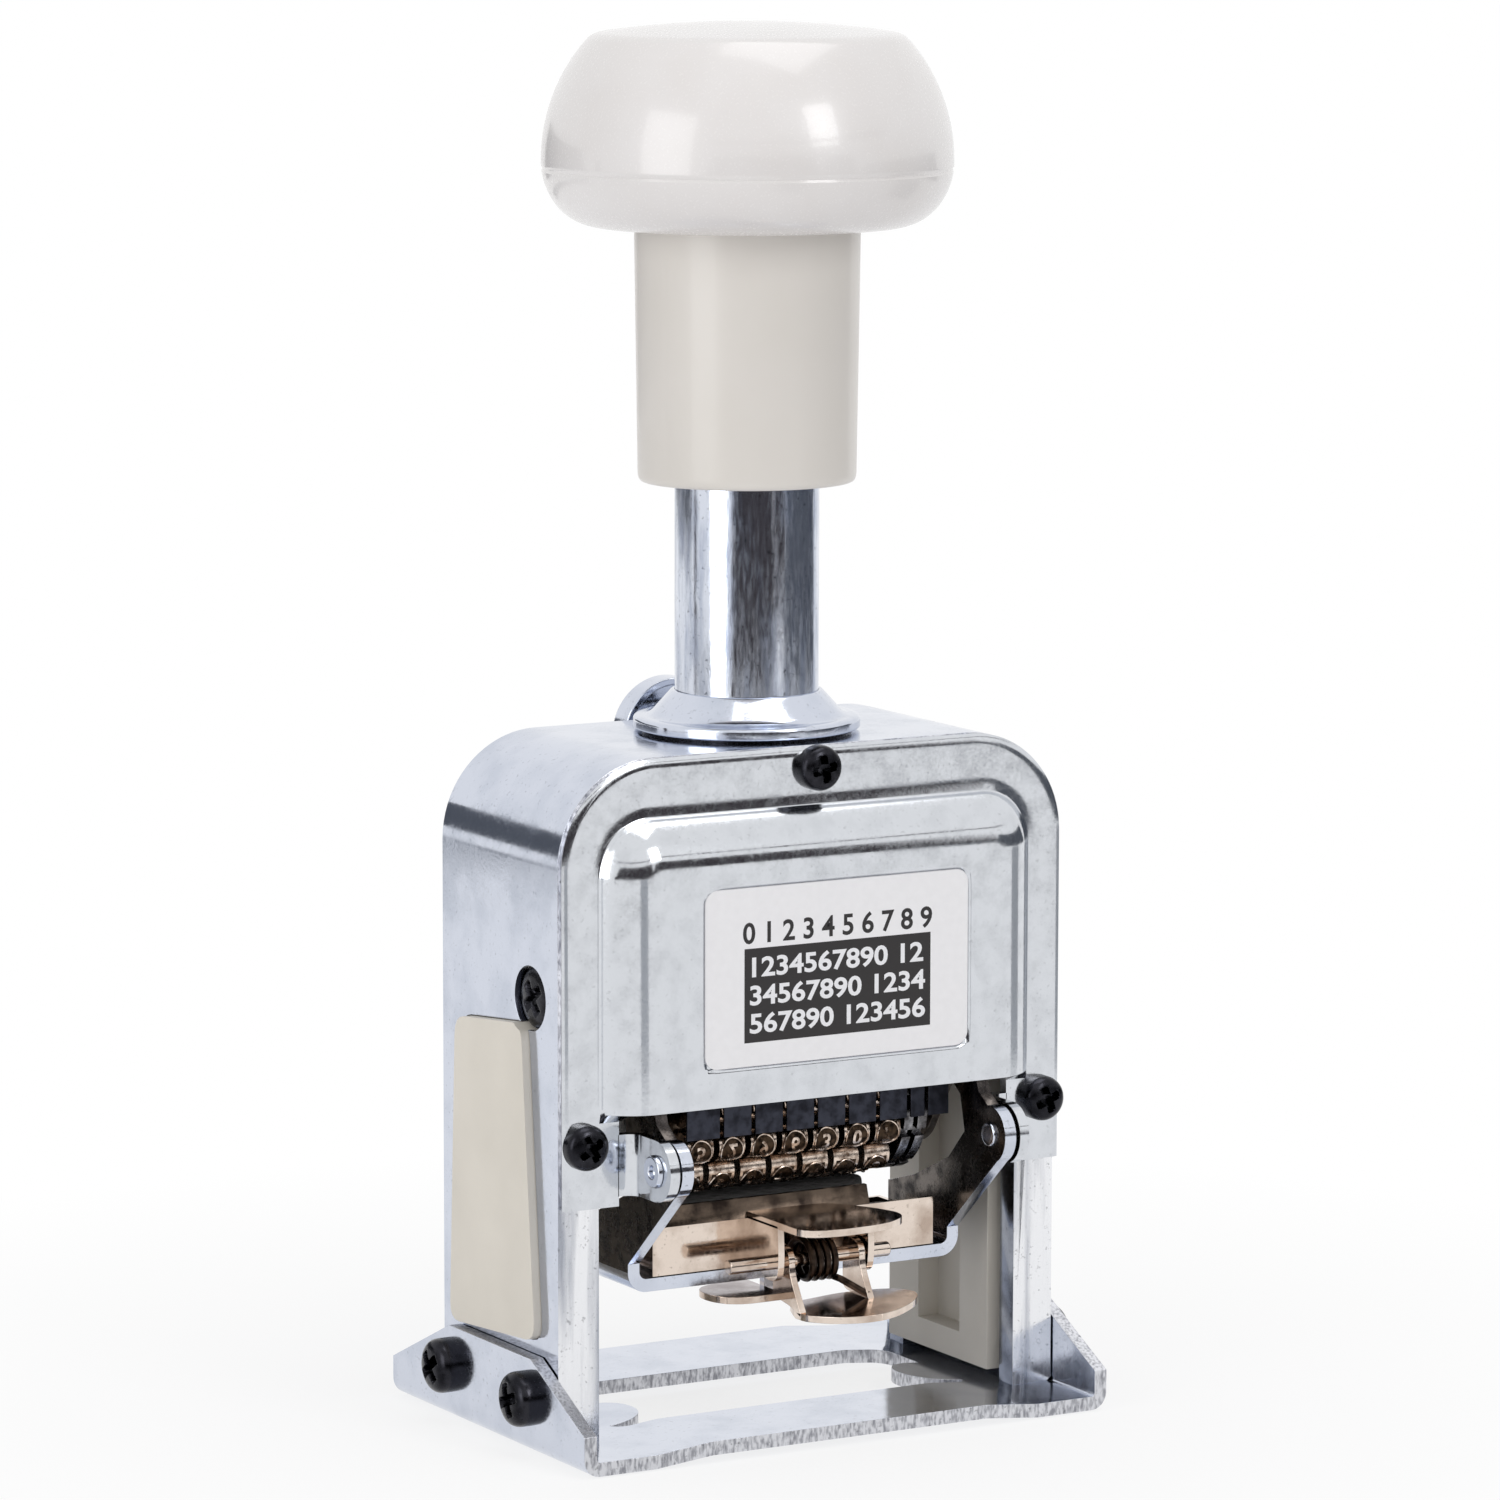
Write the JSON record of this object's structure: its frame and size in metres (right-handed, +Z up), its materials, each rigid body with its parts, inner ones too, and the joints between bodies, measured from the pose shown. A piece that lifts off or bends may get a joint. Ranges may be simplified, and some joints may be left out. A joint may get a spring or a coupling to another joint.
{
  "type": "numbering machine",
  "caption": "Hand-operated numbering machine: a sprung mushroom knob drives number wheels down through the base window while the inking pad swings clear.",
  "frame": {"origin": "centre of the overall box on the paper plane, which is also the centre of the base plate's underside", "axes": "+X to the right as seen from the front, +Y to the back, +Z up along the plunger; the front with the finger tabs faces -Y"},
  "size_m": [0.0734, 0.0528, 0.1592],
  "materials": {
    "chrome": "polished",
    "nickel": "satin nickel plate",
    "label_face": "satin",
    "black_oxide": "satin black",
    "guide_plastic": "matte",
    "knob_plastic": "glossy",
    "brass": "satin",
    "steel": "satin",
    "felt": "matte"
  },
  "bodies": {
    "frame": {"base_plate": "chrome", "housing": "chrome", "front_cover": "chrome", "back_cover": "chrome", "label_plate": "label_face", "dial_plate": "nickel", "cover_screws": "black_oxide", "back_screws": "black_oxide", "flange_screws": "black_oxide", "guide_screws": "black_oxide", "side_guide_left": "guide_plastic", "side_guide_right": "guide_plastic", "guide_tube": "chrome", "collar": "chrome", "neck_washer": "black_oxide", "rod_bush": "brass", "ear_pins": "chrome"},
    "plunger": {"knob_cap": "knob_plastic", "knob_skirt": "knob_plastic", "plunger_rod": "steel", "spring_seat": "steel", "return_spring": "steel", "carriage_yoke": "steel", "side_plate_left": "steel", "side_plate_right": "steel", "wheel_shaft": "steel", "shaft_clips": "steel", "spring_bar": "black_oxide", "detent_springs": "black_oxide", "ratchet_disc_1": "black_oxide", "ratchet_disc_2": "black_oxide", "end_drum": "nickel", "thrust_collar": "nickel", "drive_pins": "steel"},
    "wheel_1": {"digit_wheel_1": "nickel"},
    "wheel_2": {"digit_wheel_2": "nickel"},
    "wheel_3": {"digit_wheel_3": "nickel"},
    "wheel_4": {"digit_wheel_4": "nickel"},
    "wheel_5": {"digit_wheel_5": "nickel"},
    "wheel_6": {"digit_wheel_6": "nickel"},
    "wheel_7": {"digit_wheel_7": "nickel"},
    "feed_arm": {"feed_frame": "steel", "feed_comb": "black_oxide"},
    "ink_arm": {"ink_bracket": "chrome"},
    "pad_holder": {"pad_tray": "nickel", "ink_pad": "felt", "tray_clip": "nickel", "clip_pin": "nickel"},
    "clip_lever": {"clip_lever": "nickel", "clip_spring": "black_oxide"},
    "selector": {"selector_knob": "chrome", "selector_nut": "chrome", "selector_spindle": "steel", "selector_pointer": "chrome"}
  },
  "joints": [
    {"name": "press", "type": "slide", "parent": "frame", "child": "plunger", "axis": [0, 0, -1], "range_m": [0, 0.0265], "stiffness_N_per_m": 600, "springref_m": -0.02, "deforming": ["return_spring"]},
    {"name": "wheel_1_spin", "type": "hinge", "parent": "plunger", "child": "wheel_1", "pos_m": [-0.0133, -0.0042, 0.0352], "axis": [1, 0, 0], "continuous": true},
    {"name": "wheel_2_spin", "type": "hinge", "parent": "plunger", "child": "wheel_2", "pos_m": [-0.0092, -0.0042, 0.0352], "axis": [1, 0, 0], "continuous": true},
    {"name": "wheel_3_spin", "type": "hinge", "parent": "plunger", "child": "wheel_3", "pos_m": [-0.0051, -0.0042, 0.0352], "axis": [1, 0, 0], "continuous": true},
    {"name": "wheel_4_spin", "type": "hinge", "parent": "plunger", "child": "wheel_4", "pos_m": [-0.001, -0.0042, 0.0352], "axis": [1, 0, 0], "continuous": true},
    {"name": "wheel_5_spin", "type": "hinge", "parent": "plunger", "child": "wheel_5", "pos_m": [0.0031, -0.0042, 0.0352], "axis": [1, 0, 0], "continuous": true},
    {"name": "wheel_6_spin", "type": "hinge", "parent": "plunger", "child": "wheel_6", "pos_m": [0.0072, -0.0042, 0.0352], "axis": [1, 0, 0], "continuous": true},
    {"name": "wheel_7_spin", "type": "hinge", "parent": "plunger", "child": "wheel_7", "pos_m": [0.0113, -0.0042, 0.0352], "axis": [1, 0, 0], "continuous": true},
    {"name": "feed_swing", "type": "hinge", "parent": "plunger", "child": "feed_arm", "pos_m": [0, -0.0042, 0.0352], "axis": [1, 0, 0], "range_deg": [0, 36]},
    {"name": "ink_swing", "type": "hinge", "parent": "frame", "child": "ink_arm", "pos_m": [0, -0.02, 0.033], "axis": [-1, 0, 0], "range_deg": [0, 100]},
    {"name": "pad_slide", "type": "slide", "parent": "ink_arm", "child": "pad_holder", "axis": [0, -1, 0], "range_m": [0, 0.024]},
    {"name": "clip_squeeze", "type": "hinge", "parent": "pad_holder", "child": "clip_lever", "pos_m": [0, -0.0155, 0.02], "axis": [-1, 0, 0], "range_deg": [0, 16], "stiffness_Nm_per_rad": 0.02, "springref_deg": -17.19},
    {"name": "selector_turn", "type": "hinge", "parent": "frame", "child": "selector", "pos_m": [0, 0.0137, 0.0758], "axis": [0, 1, 0], "range_deg": [-45, 45]}
  ],
  "couplings": [
    {"joint": "feed_swing", "follows": "press", "rad_per_m": 23.71},
    {"joint": "ink_swing", "follows": "press", "rad_per_m": 65.861}
  ]
}
